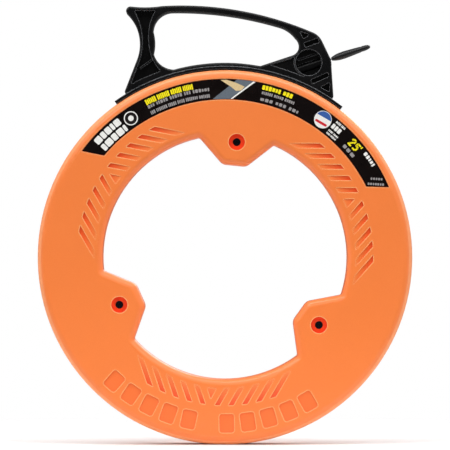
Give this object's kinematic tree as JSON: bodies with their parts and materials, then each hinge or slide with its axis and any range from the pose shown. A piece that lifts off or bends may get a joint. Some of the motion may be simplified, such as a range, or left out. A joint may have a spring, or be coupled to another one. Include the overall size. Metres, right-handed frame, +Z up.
{
  "type": "fish tape reel",
  "caption": "Ring-shaped fish tape reel: a split orange case turns on a black carrying handle, and flat steel tape runs out of the handle's nose.",
  "frame": {"origin": "on the ground under the middle of the case, which stands on its rim with the handle on top", "axes": "+Z up through the handle, +X to the right towards the tape's tip, +Y to the back; the front face with the label looks along -Y and the case turns about Y"},
  "size_m": [0.28, 0.038, 0.3282],
  "materials": {
    "case_plastic": "satin moulded impact plastic, orange",
    "label_film": "printed vinyl film, black, satin",
    "screw_black": "black oxide",
    "tape_steel": "blued spring steel",
    "clip_steel": "zinc plated",
    "handle_plastic": "fine textured glass-filled nylon, black",
    "hoop_plastic": "smooth acetal, black",
    "guide_steel": "satin stainless",
    "tip_plastic": "moulded nylon, black"
  },
  "bodies": {
    "handle": {"handle": "handle_plastic", "guide_hoop": "hoop_plastic", "hoop_screw_1": "clip_steel", "hoop_screw_2": "clip_steel", "hoop_screw_3": "clip_steel", "hoop_screw_4": "clip_steel", "exit_guide": "guide_steel"},
    "case": {"front_shell": "case_plastic", "rear_shell": "case_plastic", "front_label": "label_film", "case_screw_1": "screw_black", "case_screw_2": "screw_black", "case_screw_3": "screw_black", "tape_coil": "tape_steel", "anchor_clip": "clip_steel", "anchor_rivet": "clip_steel", "anchor_screw": "clip_steel"},
    "tape": {"tape_lead": "tape_steel", "tape_tip": "tip_plastic", "tip_pin": "clip_steel"}
  },
  "joints": [
    {"name": "case_spin", "type": "hinge", "parent": "handle", "child": "case", "pos_m": [0, 0, 0.14], "axis": [0, 1, 0], "continuous": true},
    {"name": "tape_pull", "type": "slide", "parent": "handle", "child": "tape", "axis": [0.9489, 0, 0.3156], "range_m": [0, 0.09]}
  ]
}
